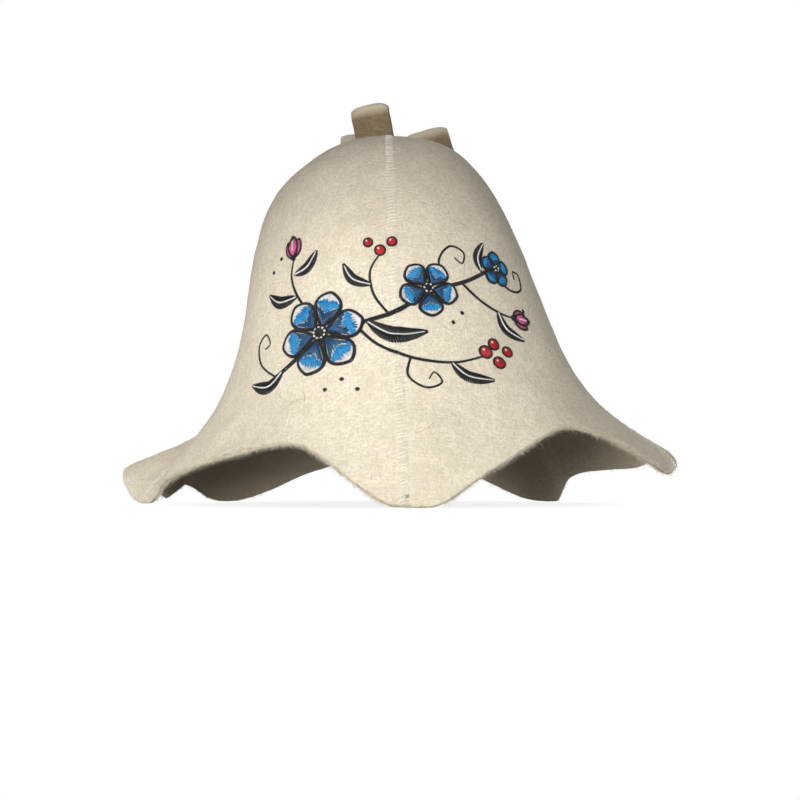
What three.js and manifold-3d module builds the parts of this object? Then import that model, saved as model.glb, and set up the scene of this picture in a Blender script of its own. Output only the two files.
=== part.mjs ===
// A wool felt sauna hat, in millimetres, +Z up, resting on its hem.
// Four bell-shaped gores of thick felt meet edge to edge in a front, a back and two side seams.
// Their flared lower ends make a wavy brim. Three loops of felt strip are sewn on at the apex.
// Azimuth 0 is the front of the hat, towards -Y, and 90 is the side towards +X.
import * as THREE from "three";
import { mergeVertices } from "three/addons/utils/BufferGeometryUtils.js";
import Module from "manifold-3d";

// The crown: height of the apex over the surface that the hem rests on, and outside sizes.
const CROWN_HEIGHT = 245;
const CROWN_WIDTH = 200;
const CROWN_DEPTH = 214;
// How far the apex stands off the hem's centre, towards -X.
const CROWN_LEAN = 11;
// The brim: its furthest reach from the axis, and the height of the hem's highest arch.
const BRIM_REACH = 198;
const ARCH_RISE = 47;
// The felt, the gap that the seams' threads bridge, and the opening where the gores' points meet.
const FELT = 3;
const SEAM_GAP = 0.3;
const APEX_OPENING = 5;
// The loops: a felt strip's width, a loop's length before its foot is cut, and its bulge at the
// bend.
const STRIP_WIDTH = 28;
const LOOP_LENGTH = 44;
const LOOP_BULGE = 12;
// The gap under the loops' feet.
const FOOT_GAP = 0.3;

// How finely the gores are faceted.
const COLUMNS = 22;
const ROWS = 24;
const LOOP_STEPS = 26;

const WOOL_WHITE = "#e6dcc6";

// The crown's sections, from the apex down to where the brim starts.
// height is a share of CROWN_HEIGHT, left and right are shares of half CROWN_WIDTH,
// and front and back are shares of half CROWN_DEPTH.
const CROWN_SECTIONS = [
  { height: 0.985, left: 0.245, right: 0.26, front: 0.245, back: 0.25 },
  { height: 0.95, left: 0.44, right: 0.475, front: 0.465, back: 0.48 },
  { height: 0.9, left: 0.61, right: 0.588, front: 0.62, back: 0.64 },
  { height: 0.845, left: 0.755, right: 0.68, front: 0.725, back: 0.765 },
  { height: 0.77, left: 0.858, right: 0.773, front: 0.825, back: 0.88 },
  { height: 0.69, left: 0.918, right: 0.852, front: 0.9, back: 0.965 },
  { height: 0.6, left: 0.964, right: 0.922, front: 0.95, back: 1.015 },
  { height: 0.49, left: 1.012, right: 1.01, front: 1.0, back: 1.065 },
];

// The hem's folds, once round the hat. azimuth is in degrees, reach is a share of BRIM_REACH,
// rise is a share of ARCH_RISE, droop is the brim's slope at the hem in degrees below level, and
// sweep is how far in from the hem that slope is felt, as a share of the brim's length.
// A rise under zero is felt that the floor flattens.
const HEM_FOLDS = [
  { fold: "back left rise", azimuth: -157, reach: 0.808, rise: 0.6, droop: 52, sweep: 0.25 },
  { fold: "back left lobe", azimuth: -125, reach: 0.848, rise: -0.05, droop: 72, sweep: 0.25 },
  { fold: "left notch", azimuth: -112.5, reach: 0.87, rise: 0.3, droop: 50, sweep: 0.3 },
  { fold: "left tongue back", azimuth: -108, reach: 0.91, rise: 0.08, droop: 50, sweep: 0.3 },
  { fold: "left tongue top", azimuth: -103, reach: 0.965, rise: 0.6, droop: 22, sweep: 0.42 },
  { fold: "left tongue", azimuth: -99.5, reach: 0.998, rise: 0.48, droop: 28, sweep: 0.38 },
  { fold: "left tongue front", azimuth: -96, reach: 0.967, rise: 0.24, droop: 45, sweep: 0.28 },
  { fold: "left valley side", azimuth: -92, reach: 0.915, rise: 0.04, droop: 60, sweep: 0.22 },
  { fold: "left valley", azimuth: -87, reach: 0.86, rise: -0.03, droop: 78, sweep: 0.19 },
  { fold: "left wing end", azimuth: -79, reach: 0.79, rise: 0.3, droop: 75, sweep: 0.22 },
  { fold: "left wing", azimuth: -66, reach: 0.727, rise: 0.51, droop: 52, sweep: 0.2 },
  { fold: "left front arch", azimuth: -46, reach: 0.692, rise: 0.66, droop: 44, sweep: 0.2 },
  { fold: "left front rise", azimuth: -27, reach: 0.707, rise: 0.765, droop: 50, sweep: 0.2 },
  { fold: "front lobe", azimuth: 2, reach: 0.758, rise: -0.05, droop: 72, sweep: 0.2 },
  { fold: "right front rise", azimuth: 19, reach: 0.72, rise: 0.42, droop: 60, sweep: 0.2 },
  { fold: "right front arch", azimuth: 46, reach: 0.698, rise: 1.0, droop: 40, sweep: 0.2 },
  { fold: "right wing", azimuth: 71, reach: 0.766, rise: 0.74, droop: 52, sweep: 0.2 },
  { fold: "right wing end", azimuth: 80, reach: 0.835, rise: 0.53, droop: 70, sweep: 0.2 },
  { fold: "right tongue", azimuth: 86.5, reach: 0.888, rise: 0.42, droop: 80, sweep: 0.22 },
  { fold: "right tongue tip", azimuth: 92, reach: 0.932, rise: 0.6, droop: 55, sweep: 0.22 },
  { fold: "right tongue back", azimuth: 97, reach: 0.92, rise: 0.77, droop: 28, sweep: 0.36 },
  { fold: "right shelf", azimuth: 103.5, reach: 0.865, rise: 0.56, droop: 40, sweep: 0.28 },
  { fold: "right shelf end", azimuth: 118, reach: 0.81, rise: 0.53, droop: 45, sweep: 0.25 },
  { fold: "right notch", azimuth: 127.5, reach: 0.803, rise: 0.42, droop: 55, sweep: 0.25 },
  { fold: "back right lobe", azimuth: 134.5, reach: 0.812, rise: -0.05, droop: 75, sweep: 0.25 },
  { fold: "back right rise", azimuth: 144, reach: 0.815, rise: 0.07, droop: 65, sweep: 0.25 },
  { fold: "back arch", azimuth: 178, reach: 0.823, rise: 0.85, droop: 40, sweep: 0.2 },
];
// How far the brim keeps the crown's slope, as a share of the brim's length.
const BELL_START = 0.63;

// The gores between the seams, by the azimuths of their edges.
const GORES = [
  { name: "gore_front_left", from: -90, to: 0 },
  { name: "gore_front_right", from: 0, to: 90 },
  { name: "gore_back_right", from: 90, to: 180 },
  { name: "gore_back_left", from: -180, to: -90 },
];

// The loops: each one's width and the middle of its bend from the apex, as shares of STRIP_WIDTH, the
// azimuth that it faces, and how far it leans back and turns in its own plane, in degrees.
const LOOPS = [
  { name: "loop_upright", wide: 0.93, x: -0.475, y: 0.06, z: 0.94, azimuth: -6, lean: 0, turn: 9.5 },
  { name: "loop_right", wide: 1.08, x: 0.868, y: 0.22, z: 0.32, azimuth: 0, lean: 20, turn: 15 },
  { name: "loop_left", wide: 1, x: -0.69, y: 1.0, z: 0.43, azimuth: -6, lean: 45, turn: 6 },
];

const wasm = await Module();
wasm.setup();

const felt = new THREE.MeshStandardMaterial({ color: WOOL_WHITE, roughness: 0.95, metalness: 0 });
const strip = new THREE.MeshStandardMaterial({ color: WOOL_WHITE, roughness: 0.95, metalness: 0 });

const radians = THREE.MathUtils.degToRad;

// The slope at each fold of a monotone curve through one column of HEM_FOLDS, so that no
// interpolated hem point goes past the folds beside it.
function foldSlopes(column) {
  const count = HEM_FOLDS.length;
  const steps = HEM_FOLDS.map((row, i) => {
    const next = HEM_FOLDS[(i + 1) % count];
    const width = THREE.MathUtils.euclideanModulo(next.azimuth - row.azimuth, 360);
    return { width, slope: (next[column] - row[column]) / width };
  });
  return steps.map((after, i) => {
    const before = steps[(i + count - 1) % count];
    if (before.slope * after.slope <= 0) return 0;
    const nearAfter = 2 * after.width + before.width;
    const nearBefore = after.width + 2 * before.width;
    return (nearAfter + nearBefore) / (nearAfter / before.slope + nearBefore / after.slope);
  });
}

const slopes = {
  reach: foldSlopes("reach"),
  rise: foldSlopes("rise"),
  droop: foldSlopes("droop"),
  sweep: foldSlopes("sweep"),
};

// A column of HEM_FOLDS at any azimuth, by cubic Hermite pieces.
function hemValue(column, azimuth) {
  const count = HEM_FOLDS.length;
  const from = (row) => THREE.MathUtils.euclideanModulo(azimuth - row.azimuth, 360);
  let i = 0;
  for (let k = 1; k < count; k++) if (from(HEM_FOLDS[k]) < from(HEM_FOLDS[i])) i = k;
  const j = (i + 1) % count;
  const width = THREE.MathUtils.euclideanModulo(HEM_FOLDS[j].azimuth - HEM_FOLDS[i].azimuth, 360);
  const t = from(HEM_FOLDS[i]) / width;
  const rest = 1 - t;
  return (
    (1 + 2 * t) * rest * rest * HEM_FOLDS[i][column] +
    t * t * (3 - 2 * t) * HEM_FOLDS[j][column] +
    t * rest * rest * width * slopes[column][i] -
    t * t * rest * width * slopes[column][j]
  );
}

// A crown section's radius: quarter ellipses that meet at the front, the sides and the back.
function sectionRadius(section, azimuth) {
  const across = Math.sin(radians(azimuth));
  const along = Math.cos(radians(azimuth));
  const halfWidth = ((across > 0 ? section.right : section.left) * CROWN_WIDTH) / 2;
  const halfDepth = ((along > 0 ? section.front : section.back) * CROWN_DEPTH) / 2;
  return 1 / Math.hypot(across / halfWidth, along / halfDepth);
}

// The outside of the felt from the apex to the hem at one azimuth, as (radius, height) points.
function meridian(azimuth) {
  const points = [new THREE.Vector2(APEX_OPENING, CROWN_HEIGHT)];
  for (const section of CROWN_SECTIONS)
    points.push(
      new THREE.Vector2(sectionRadius(section, azimuth), section.height * CROWN_HEIGHT),
    );
  const start = points[points.length - 1];
  const hem = new THREE.Vector2(
    hemValue("reach", azimuth) * BRIM_REACH,
    hemValue("rise", azimuth) * ARCH_RISE,
  );
  const droop = radians(hemValue("droop", azimuth));
  const way = start.distanceTo(hem);
  const down = start.clone().sub(points[points.length - 2]).normalize();
  const out = new THREE.Vector2(Math.cos(droop), -Math.sin(droop));
  const bell = new THREE.CubicBezierCurve(
    start,
    start.clone().addScaledVector(down, way * BELL_START),
    hem.clone().addScaledVector(out, -way * hemValue("sweep", azimuth)),
    hem,
  );
  points.push(...bell.getPoints(6).slice(1));
  return new THREE.SplineCurve(points).getSpacedPoints(ROWS);
}

// A (radius, height) point at an azimuth, in the hat's frame, with the crown's lean.
function place(point, azimuth) {
  const turn = radians(azimuth);
  return new THREE.Vector3(
    point.x * Math.sin(turn) - (CROWN_LEAN * point.y) / CROWN_HEIGHT,
    -point.x * Math.cos(turn),
    point.y,
  );
}

// One column of the outside: its points and their normals.
function column(azimuth) {
  const nudge = 0.5;
  const here = meridian(azimuth).map((p) => place(p, azimuth));
  const before = meridian(azimuth - nudge).map((p) => place(p, azimuth - nudge));
  const after = meridian(azimuth + nudge).map((p) => place(p, azimuth + nudge));
  const normals = here.map((p, row) => {
    const across = after[row].clone().sub(before[row]);
    const down = here[Math.min(row + 1, ROWS)].clone().sub(here[Math.max(row - 1, 0)]);
    return down.cross(across).normalize();
  });
  return { azimuth, points: here, normals };
}

// The azimuths of a gore's columns: evenly spaced by the hem's length and by how much it turns,
// so that tight folds get more of them.
function columnAzimuths(from, to) {
  const fine = 240;
  const turnWeight = 30;
  const hem = [];
  for (let k = 0; k <= fine; k++) {
    const azimuth = from + ((to - from) * k) / fine;
    const point = new THREE.Vector2(
      hemValue("reach", azimuth) * BRIM_REACH,
      hemValue("rise", azimuth) * ARCH_RISE,
    );
    hem.push({ azimuth, at: place(point, azimuth) });
  }
  const so_far = [0];
  let heading = null;
  for (let k = 1; k <= fine; k++) {
    const step = hem[k].at.clone().sub(hem[k - 1].at);
    const turned = heading ? heading.angleTo(step) : 0;
    so_far.push(so_far[k - 1] + step.length() + turnWeight * turned);
    heading = step;
  }
  const azimuths = [];
  for (let i = 0, k = 0; i <= COLUMNS; i++) {
    const wanted = (so_far[fine] * i) / COLUMNS;
    while (k < fine - 1 && so_far[k + 1] < wanted) k++;
    const share = (wanted - so_far[k]) / (so_far[k + 1] - so_far[k]);
    azimuths.push(THREE.MathUtils.lerp(hem[k].azimuth, hem[k + 1].azimuth, share));
  }
  return azimuths;
}

// One gore: the outside, the inside one felt thickness behind it, and the four cut edges.
// Each long edge stands half a seam gap back from its seam, and the floor flattens the hem.
function goreGeometry({ from, to }) {
  const columns = columnAzimuths(from, to).map(column);
  const positions = [];
  const wide = COLUMNS + 1;
  for (const depth of [0, FELT])
    for (let row = 0; row <= ROWS; row++)
      columns.forEach(({ azimuth, points, normals }, i) => {
        const back = i === 0 ? 1 : i === COLUMNS ? -1 : 0;
        const turn = radians(azimuth);
        const p = points[row].clone().addScaledVector(normals[row], -depth);
        p.x += (back * Math.cos(turn) * SEAM_GAP) / 2;
        p.y += (back * Math.sin(turn) * SEAM_GAP) / 2;
        positions.push(p.x, p.y, Math.max(p.z, 0));
      });
  const outside = (row, i) => row * wide + i;
  const inside = (row, i) => (ROWS + 1) * wide + row * wide + i;
  const faces = [];
  const quad = (a, b, c, d) => faces.push(a, b, c, a, c, d);
  for (let row = 0; row < ROWS; row++)
    for (let i = 0; i < COLUMNS; i++) {
      quad(outside(row, i), outside(row + 1, i), outside(row + 1, i + 1), outside(row, i + 1));
      quad(inside(row, i), inside(row, i + 1), inside(row + 1, i + 1), inside(row + 1, i));
    }
  for (let i = 0; i < COLUMNS; i++) {
    quad(outside(0, i), outside(0, i + 1), inside(0, i + 1), inside(0, i));
    quad(outside(ROWS, i), inside(ROWS, i), inside(ROWS, i + 1), outside(ROWS, i + 1));
  }
  for (let row = 0; row < ROWS; row++) {
    quad(outside(row, 0), inside(row, 0), inside(row + 1, 0), outside(row + 1, 0));
    quad(
      outside(row, COLUMNS),
      outside(row + 1, COLUMNS),
      inside(row + 1, COLUMNS),
      inside(row, COLUMNS),
    );
  }
  const geometry = new THREE.BufferGeometry();
  geometry.setAttribute("position", new THREE.Float32BufferAttribute(positions, 3));
  geometry.setIndex(faces);
  return geometry;
}

// A closed geometry as a solid that can be cut.
function solidOf(geometry) {
  const bare = geometry.clone();
  bare.deleteAttribute("normal");
  bare.deleteAttribute("uv");
  const merged = mergeVertices(bare, 1e-4);
  return new wasm.Manifold(
    new wasm.Mesh({
      numProp: 3,
      vertProperties: new Float32Array(merged.attributes.position.array),
      triVerts: new Uint32Array(merged.index.array),
    }),
  );
}

// A cut solid as a geometry again.
function geometryOf(solid) {
  const mesh = solid.getMesh();
  const geometry = new THREE.BufferGeometry();
  geometry.setAttribute("position", new THREE.BufferAttribute(mesh.vertProperties, 3));
  geometry.setIndex(new THREE.BufferAttribute(mesh.triVerts, 1));
  return geometry;
}

// The crown's top, one foot gap bigger than the felt: what the loops' feet are cut to.
function crownTop() {
  const round = 48;
  const deep = 8;
  const positions = [];
  for (let row = 0; row <= deep; row++)
    for (let i = 0; i < round; i++) {
      const { points, normals } = column((360 * i) / round);
      const p = points[row].clone().addScaledVector(normals[row], FOOT_GAP);
      positions.push(p.x, p.y, p.z);
    }
  const at = (row, i) => row * round + (i % round);
  const top = positions.length / 3;
  const apexX = -CROWN_LEAN;
  positions.push(apexX, 0, CROWN_HEIGHT + FOOT_GAP);
  positions.push(apexX, 0, positions[at(deep, 0) * 3 + 2]);
  const faces = [];
  for (let i = 0; i < round; i++) {
    faces.push(top, at(0, i), at(0, i + 1));
    faces.push(top + 1, at(deep, i + 1), at(deep, i));
    for (let row = 0; row < deep; row++) {
      faces.push(at(row, i), at(row + 1, i), at(row + 1, i + 1));
      faces.push(at(row, i), at(row + 1, i + 1), at(row, i + 1));
    }
  }
  const geometry = new THREE.BufferGeometry();
  geometry.setAttribute("position", new THREE.Float32BufferAttribute(positions, 3));
  geometry.setIndex(faces);
  return geometry;
}

// A loop below its bend: a strip folded in two along Z and hanging down Y, facing along X.
// Its two legs part from the foot and meet in a round bend.
function loopGeometry(width) {
  const leg = (FELT + FOOT_GAP) / 2;
  const bend = (LOOP_BULGE - FELT) / 2;
  const half = [
    new THREE.Vector2(leg, -LOOP_LENGTH),
    new THREE.Vector2(leg, -LOOP_LENGTH * 0.7),
    new THREE.Vector2(bend * 0.85, -LOOP_LENGTH * 0.35),
    new THREE.Vector2(bend, -bend - FELT / 2),
    new THREE.Vector2(bend * 0.71, -bend * 0.29 - FELT / 2),
  ];
  const mirrored = half.map((p) => new THREE.Vector2(-p.x, p.y)).reverse();
  const top = new THREE.Vector2(0, -FELT / 2);
  const middle = new THREE.SplineCurve([...half, top, ...mirrored]);
  const outer = [];
  const inner = [];
  for (let k = 0; k <= LOOP_STEPS; k++) {
    const at = middle.getPointAt(k / LOOP_STEPS);
    const along = middle.getTangentAt(k / LOOP_STEPS);
    const side = new THREE.Vector2(along.y, -along.x).multiplyScalar(FELT / 2);
    outer.push(at.clone().add(side));
    inner.push(at.clone().sub(side));
  }
  const outline = new THREE.Shape([...outer, ...inner.reverse()]);
  const geometry = new THREE.ExtrudeGeometry(outline, {
    depth: width,
    steps: 1,
    bevelEnabled: false,
  });
  return geometry.translate(0, 0, -width / 2);
}

// A loop in its place: turned upright to face the front, leaned, turned and set down with its
// foot cut to the crown.
function loopMesh({ name, wide, x, y, z, azimuth, lean, turn }, crown) {
  const geometry = loopGeometry(wide * STRIP_WIDTH);
  geometry.rotateX(Math.PI / 2);
  geometry.rotateZ(Math.PI / 2);
  geometry.rotateX(radians(-lean));
  geometry.rotateY(radians(-turn));
  geometry.rotateZ(radians(azimuth));
  geometry.translate(
    x * STRIP_WIDTH - CROWN_LEAN,
    y * STRIP_WIDTH,
    z * STRIP_WIDTH + CROWN_HEIGHT,
  );
  const mesh = new THREE.Mesh(geometryOf(solidOf(geometry).subtract(crown)), strip);
  mesh.name = name;
  return mesh;
}

const hat = new THREE.Group();
for (const gore of GORES) {
  const mesh = new THREE.Mesh(goreGeometry(gore), felt);
  mesh.name = gore.name;
  hat.add(mesh);
}
const crown = solidOf(crownTop());
for (const loop of LOOPS) hat.add(loopMesh(loop, crown));

// The origin is on the floor, under the middle of the hat's outline.
const outline = new THREE.Box3().setFromObject(hat);
const middle = outline.getCenter(new THREE.Vector3());
hat.position.set(-middle.x, -middle.y, -outline.min.z);

export default hat;
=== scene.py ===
import math
import random

import bpy
import numpy as np
from mathutils import Matrix, Vector
from mathutils.bvhtree import BVHTree


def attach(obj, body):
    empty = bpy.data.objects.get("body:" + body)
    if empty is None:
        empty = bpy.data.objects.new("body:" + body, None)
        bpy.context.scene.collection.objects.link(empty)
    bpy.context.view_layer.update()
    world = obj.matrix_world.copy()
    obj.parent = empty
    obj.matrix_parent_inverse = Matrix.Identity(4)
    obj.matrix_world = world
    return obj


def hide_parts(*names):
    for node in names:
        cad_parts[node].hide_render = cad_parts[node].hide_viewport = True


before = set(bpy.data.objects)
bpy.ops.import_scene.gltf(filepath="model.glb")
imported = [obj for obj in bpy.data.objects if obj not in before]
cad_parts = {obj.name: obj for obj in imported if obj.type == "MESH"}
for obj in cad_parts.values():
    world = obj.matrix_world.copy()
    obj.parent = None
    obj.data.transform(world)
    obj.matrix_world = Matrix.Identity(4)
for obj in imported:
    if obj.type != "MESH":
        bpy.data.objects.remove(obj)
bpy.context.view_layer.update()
bpy.ops.object.select_all(action="DESELECT")

# The hat's body: four bell-shaped gores of thick wool felt, cut with flared lower ends.
# The felt is 3 mm thick, milled soft and uneven, in cream wool with a few dark hairs in it.
# Its cut edges are rounded by wear, at the seams less than at the hem.
GORES = ("gore_front_left", "gore_front_right", "gore_back_right", "gore_back_left")
FELT = 0.003
SEAM_REACH = 0.0004
SEAM_PULL = 0.85
SEAM_ROUNDING = 0.0004
HEM_ROUNDING = 0.0012
WOOL_CREAM = (0.84, 0.775, 0.63, 1)
WOOL_SHADE = (0.64, 0.57, 0.45, 1)
WOOL_WARM = (0.82, 0.735, 0.57, 1)
WOOL_PALE = (0.93, 0.88, 0.77, 1)
# The crown is painted a little greyer than the brim towards its top, as painted shade.
CROWN_PAINTED_SHADE = (0.72, 0.71, 0.72, 1)
CROWN_SHADE_FROM = 0.11
CROWN_SHADE_FULL = 0.225
# The felt's inside is painted darker and browner: painted shade under the brim and in the crown.
INSIDE_PAINTED_SHADE = (0.4, 0.32, 0.22, 1)
FLECK_BROWN = (0.2, 0.13, 0.08, 1)
APEX_HEIGHT = 0.245
LEAN = 0.011
# Where the crown's axis meets the floor: the hem's middle is a little off the outline's middle.
AXIS_X = 0.006429
AXIS_Y = -0.006463
# The gores' points are drawn together at the apex, where the cutting leaves a 5 mm opening.
POINTS_FROM = 0.23
POINT_RADIUS = 0.005
POINT_PULL = 0.0045
POINT_SPREAD = 0.009


def axis_at(height):
    return Vector((AXIS_X - LEAN * height / APEX_HEIGHT, AXIS_Y, height))


def select_only(piece):
    bpy.ops.object.select_all(action="DESELECT")
    piece.select_set(True)
    bpy.context.view_layer.objects.active = piece


def apply_all(piece):
    select_only(piece)
    for modifier in list(piece.modifiers):
        bpy.ops.object.modifier_apply(modifier=modifier.name)


def subdivide(piece, levels):
    modifier = piece.modifiers.new("smooth", "SUBSURF")
    modifier.levels = levels
    modifier.render_levels = levels


def unevenness(piece, size, height):
    clouds = bpy.data.textures.new(piece.name + "_clouds", "CLOUDS")
    clouds.noise_scale = size
    clouds.noise_depth = 1
    modifier = piece.modifiers.new("uneven", "DISPLACE")
    modifier.texture = clouds
    modifier.texture_coords = "LOCAL"
    modifier.strength = height
    modifier.mid_level = 0.5
    if piece.vertex_groups:
        modifier.vertex_group = piece.vertex_groups[0].name


def new_group(name, inputs, outputs):
    group = bpy.data.node_groups.new(name, "ShaderNodeTree")
    for label, kind, value in inputs:
        socket = group.interface.new_socket(label, in_out="INPUT", socket_type=kind)
        socket.default_value = value
    for label, kind in outputs:
        group.interface.new_socket(label, in_out="OUTPUT", socket_type=kind)
    group.nodes.new("NodeGroupInput").name = "in"
    group.nodes.new("NodeGroupOutput").name = "out"
    return group


def node(tree, kind, settings=None, **links):
    made = tree.nodes.new(kind)
    for key, value in (settings or {}).items():
        setattr(made, key, value)
    for key, value in links.items():
        key = key.replace("_", " ")
        socket = made.inputs[int(key[1:])] if key[0] == "i" and key[1:].isdigit() else made.inputs[key]
        if isinstance(value, bpy.types.NodeSocket):
            tree.links.new(value, socket)
        else:
            socket.default_value = value
    return made


def math_node(tree, operation, a, b=0.5, clamp=False):
    return node(tree, "ShaderNodeMath", {"operation": operation, "use_clamp": clamp}, i0=a, i1=b).outputs[0]


def mix_colour(tree, factor, a, b, blend="MIX"):
    made = tree.nodes.new("ShaderNodeMix")
    made.data_type = "RGBA"
    made.blend_type = blend
    for index, value in ((0, factor), (6, a), (7, b)):
        if isinstance(value, bpy.types.NodeSocket):
            tree.links.new(value, made.inputs[index])
        else:
            made.inputs[index].default_value = value
    return made.outputs[2]


def ramp(tree, value, low, high, smooth=True):
    made = node(
        tree,
        "ShaderNodeMapRange",
        {"interpolation_type": "SMOOTHSTEP" if smooth else "LINEAR"},
        Value=value,
        From_Min=low,
        From_Max=high,
    )
    return made.outputs["Result"]


def felt_group():
    group = new_group(
        "wool_felt",
        (("Coarse", "NodeSocketFloat", 1.0),),
        (
            ("Mottle", "NodeSocketFloat"),
            ("Patch", "NodeSocketFloat"),
            ("Cloud", "NodeSocketFloat"),
            ("Fibre", "NodeSocketFloat"),
            ("Gap", "NodeSocketFloat"),
            ("Fleck", "NodeSocketFloat"),
            ("Height", "NodeSocketFloat"),
        ),
    )
    place = node(group, "ShaderNodeTexCoord").outputs["Object"]
    scaled = node(group, "ShaderNodeVectorMath", {"operation": "SCALE"}, i0=place)
    group.links.new(group.nodes["in"].outputs["Coarse"], scaled.inputs["Scale"])
    at = scaled.outputs[0]
    patch = node(group, "ShaderNodeTexNoise", Vector=at, Scale=24.0, Detail=2.0)
    cloud = node(group, "ShaderNodeTexNoise", Vector=at, Scale=80.0, Detail=3.0, Roughness=0.55)
    mottle = node(group, "ShaderNodeTexNoise", Vector=at, Scale=620.0, Detail=3.0, Roughness=0.6)
    nap = node(
        group, "ShaderNodeTexNoise", Vector=at, Scale=1100.0, Detail=3.0, Roughness=0.65, Distortion=1.2
    )
    lumps = node(group, "ShaderNodeTexNoise", Vector=at, Scale=150.0, Detail=2.0)
    strands = []
    gaps = []
    flecks = []
    for turn, stretch in (((0.3, 0.2, 0.5), (1900, 230, 230)), ((0.9, -0.5, 2.1), (230, 1900, 230)),
                          ((-0.6, 1.1, 1.3), (230, 230, 1900))):
        mapping = node(group, "ShaderNodeMapping", Vector=at, Rotation=turn, Scale=stretch)
        at_strand = mapping.outputs[0]
        strand = node(group, "ShaderNodeTexNoise", Vector=at_strand, Scale=1.0, Detail=1.0, Distortion=0.8)
        strands.append(ramp(group, strand.outputs[0], 0.56, 0.74))
        gaps.append(ramp(group, strand.outputs[0], 0.43, 0.28))
        sparse = node(group, "ShaderNodeMapping", Vector=at, Rotation=turn, Scale=[k * 0.24 for k in stretch])
        cells = node(group, "ShaderNodeTexVoronoi", Vector=sparse.outputs[0], Scale=1.0)
        chance = node(group, "ShaderNodeSeparateColor", Color=cells.outputs["Color"])
        rare = math_node(group, "GREATER_THAN", chance.outputs[0], 0.86)
        flecks.append(math_node(group, "MULTIPLY", ramp(group, cells.outputs["Distance"], 0.16, 0.05), rare))
    fibre = math_node(group, "MAXIMUM", math_node(group, "MAXIMUM", strands[0], strands[1]), strands[2])
    gap = math_node(group, "MAXIMUM", math_node(group, "MAXIMUM", gaps[0], gaps[1]), gaps[2])
    fleck = math_node(group, "MAXIMUM", math_node(group, "MAXIMUM", flecks[0], flecks[1]), flecks[2])
    height = math_node(group, "ADD", math_node(group, "MULTIPLY", nap.outputs[0], 0.5),
                       math_node(group, "MULTIPLY", mottle.outputs[0], 0.5))
    height = math_node(group, "ADD", height, math_node(group, "MULTIPLY", fibre, 0.3))
    height = math_node(group, "ADD", height, math_node(group, "MULTIPLY", lumps.outputs[0], 0.45))
    out = group.nodes["out"]
    group.links.new(mottle.outputs[0], out.inputs["Mottle"])
    group.links.new(patch.outputs[0], out.inputs["Patch"])
    group.links.new(cloud.outputs[0], out.inputs["Cloud"])
    group.links.new(fibre, out.inputs["Fibre"])
    group.links.new(gap, out.inputs["Gap"])
    group.links.new(fleck, out.inputs["Fleck"])
    group.links.new(height, out.inputs["Height"])
    return group


WOOL_FELT = felt_group()


def material(name, roughness, sheen=0.0, sheen_tint=(1, 1, 1, 1), gloss=0.2):
    made = bpy.data.materials.new(name)
    made.use_nodes = True
    shader = made.node_tree.nodes["Principled BSDF"]
    shader.inputs["Roughness"].default_value = roughness
    shader.inputs["Sheen Weight"].default_value = sheen
    shader.inputs["Sheen Roughness"].default_value = 0.6
    shader.inputs["Sheen Tint"].default_value = sheen_tint
    shader.inputs["Specular IOR Level"].default_value = gloss
    return made, made.node_tree, shader


# Painted shade: the colour is greyed over the crown, fully at its top.
def painted_crown_shade(tree, colour):
    place = node(tree, "ShaderNodeTexCoord").outputs["Object"]
    up = node(tree, "ShaderNodeSeparateXYZ", Vector=place).outputs["Z"]
    grey = mix_colour(tree, 1.0, colour, CROWN_PAINTED_SHADE, "MULTIPLY")
    return mix_colour(tree, ramp(tree, up, CROWN_SHADE_FROM, CROWN_SHADE_FULL), colour, grey)


def felt_material(name, cream, shade, warm, fibre):
    made, tree, shader = material(name, 0.97, 0.05, (1.0, 0.96, 0.88, 1), 0.08)
    felt = node(tree, "ShaderNodeGroup", {"node_tree": WOOL_FELT})
    base = mix_colour(tree, ramp(tree, felt.outputs["Patch"], 0.35, 0.7), cream, warm)
    mottle = math_node(tree, "MULTIPLY", ramp(tree, felt.outputs["Mottle"], 0.6, 0.36), 0.8)
    cloud = math_node(tree, "MULTIPLY", ramp(tree, felt.outputs["Cloud"], 0.58, 0.38), 0.45)
    gap = math_node(tree, "MULTIPLY", felt.outputs["Gap"], 0.7)
    colour = mix_colour(tree, cloud, base, shade)
    colour = mix_colour(tree, mottle, colour, shade)
    colour = mix_colour(tree, gap, colour, shade)
    colour = mix_colour(tree, math_node(tree, "MULTIPLY", felt.outputs["Fibre"], 0.5), colour, fibre)
    colour = mix_colour(tree, math_node(tree, "MULTIPLY", felt.outputs["Fleck"], 0.42), colour, FLECK_BROWN)
    colour = painted_crown_shade(tree, colour)
    # Painted shade on the felt's inside.
    inner = node(tree, "ShaderNodeAttribute", {"attribute_name": "inside"}).outputs["Fac"]
    colour = mix_colour(tree, math_node(tree, "MULTIPLY", inner, 0.5), colour, INSIDE_PAINTED_SHADE)
    tree.links.new(colour, shader.inputs["Base Color"])
    bump = node(tree, "ShaderNodeBump", Strength=0.55, Distance=0.0008, Height=felt.outputs["Height"])
    tree.links.new(bump.outputs[0], shader.inputs["Normal"])
    return made


felt = felt_material("wool_felt", WOOL_CREAM, WOOL_SHADE, WOOL_WARM, WOOL_PALE)
# The hem's edge, as points with the way that each faces, for the fuzz along it.
hem_edge = []


def felt_copy(name, source):
    piece = bpy.data.objects.new(name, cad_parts[source].data.copy())
    bpy.context.collection.objects.link(piece)
    piece.data.materials.clear()
    select_only(piece)
    bpy.ops.object.mode_set(mode="EDIT")
    bpy.ops.mesh.select_all(action="SELECT")
    bpy.ops.mesh.remove_doubles(threshold=0.00002)
    bpy.ops.mesh.tris_convert_to_quads(face_threshold=math.radians(60), shape_threshold=math.radians(80))
    bpy.ops.mesh.normals_make_consistent(inside=False)
    bpy.ops.object.mode_set(mode="OBJECT")
    return piece


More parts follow.
